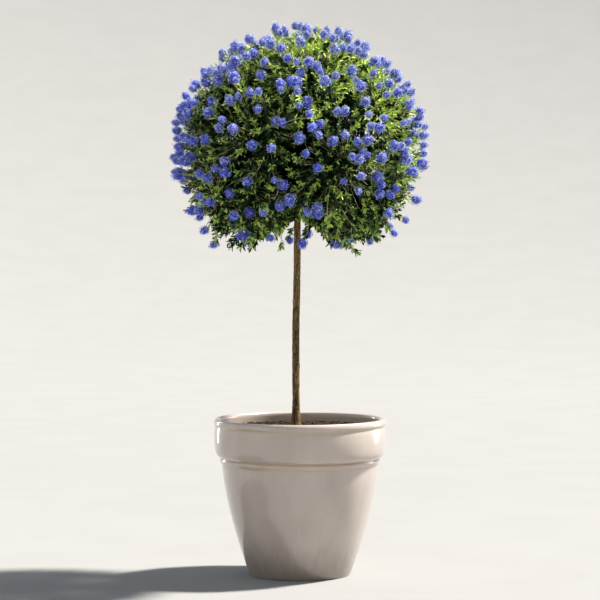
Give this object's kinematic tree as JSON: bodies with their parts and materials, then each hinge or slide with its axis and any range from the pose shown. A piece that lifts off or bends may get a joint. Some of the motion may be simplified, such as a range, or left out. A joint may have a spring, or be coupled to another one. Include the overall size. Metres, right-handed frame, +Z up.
{
  "type": "california lilac grown as a standard in a glazed pot",
  "caption": "Evergreen flowering shrub on a slim clear trunk: a round head of small leaves and blue blossom over a deep-collared glazed pot filled with compost.",
  "frame": {"origin": "centre of the pot's flat underside, where it stands", "axes": "+Z up along the trunk, +X to the right as seen from the front, +Y to the back"},
  "size_m": [0.8, 0.7973, 1.6655],
  "materials": {
    "glaze": "gloss",
    "compost": "matte",
    "bark": "matte",
    "leaves": "satin",
    "blossom": "matte"
  },
  "bodies": {
    "root": {"pot": "glaze", "compost": "compost", "trunk": "bark", "bough_01": "bark", "bough_02": "bark", "bough_03": "bark", "bough_04": "bark", "bough_05": "bark", "bough_06": "bark", "bough_07": "bark", "bough_08": "bark", "bough_09": "bark", "bough_10": "bark", "bough_11": "bark", "bough_12": "bark", "bough_13": "bark", "bough_14": "bark", "foliage_01": "leaves", "foliage_02": "leaves", "foliage_03": "leaves", "foliage_04": "leaves", "foliage_05": "leaves", "foliage_06": "leaves", "foliage_07": "leaves", "foliage_08": "leaves", "foliage_09": "leaves", "foliage_10": "leaves", "foliage_11": "leaves", "foliage_12": "leaves", "foliage_13": "leaves", "foliage_14": "leaves"}
  },
  "joints": []
}
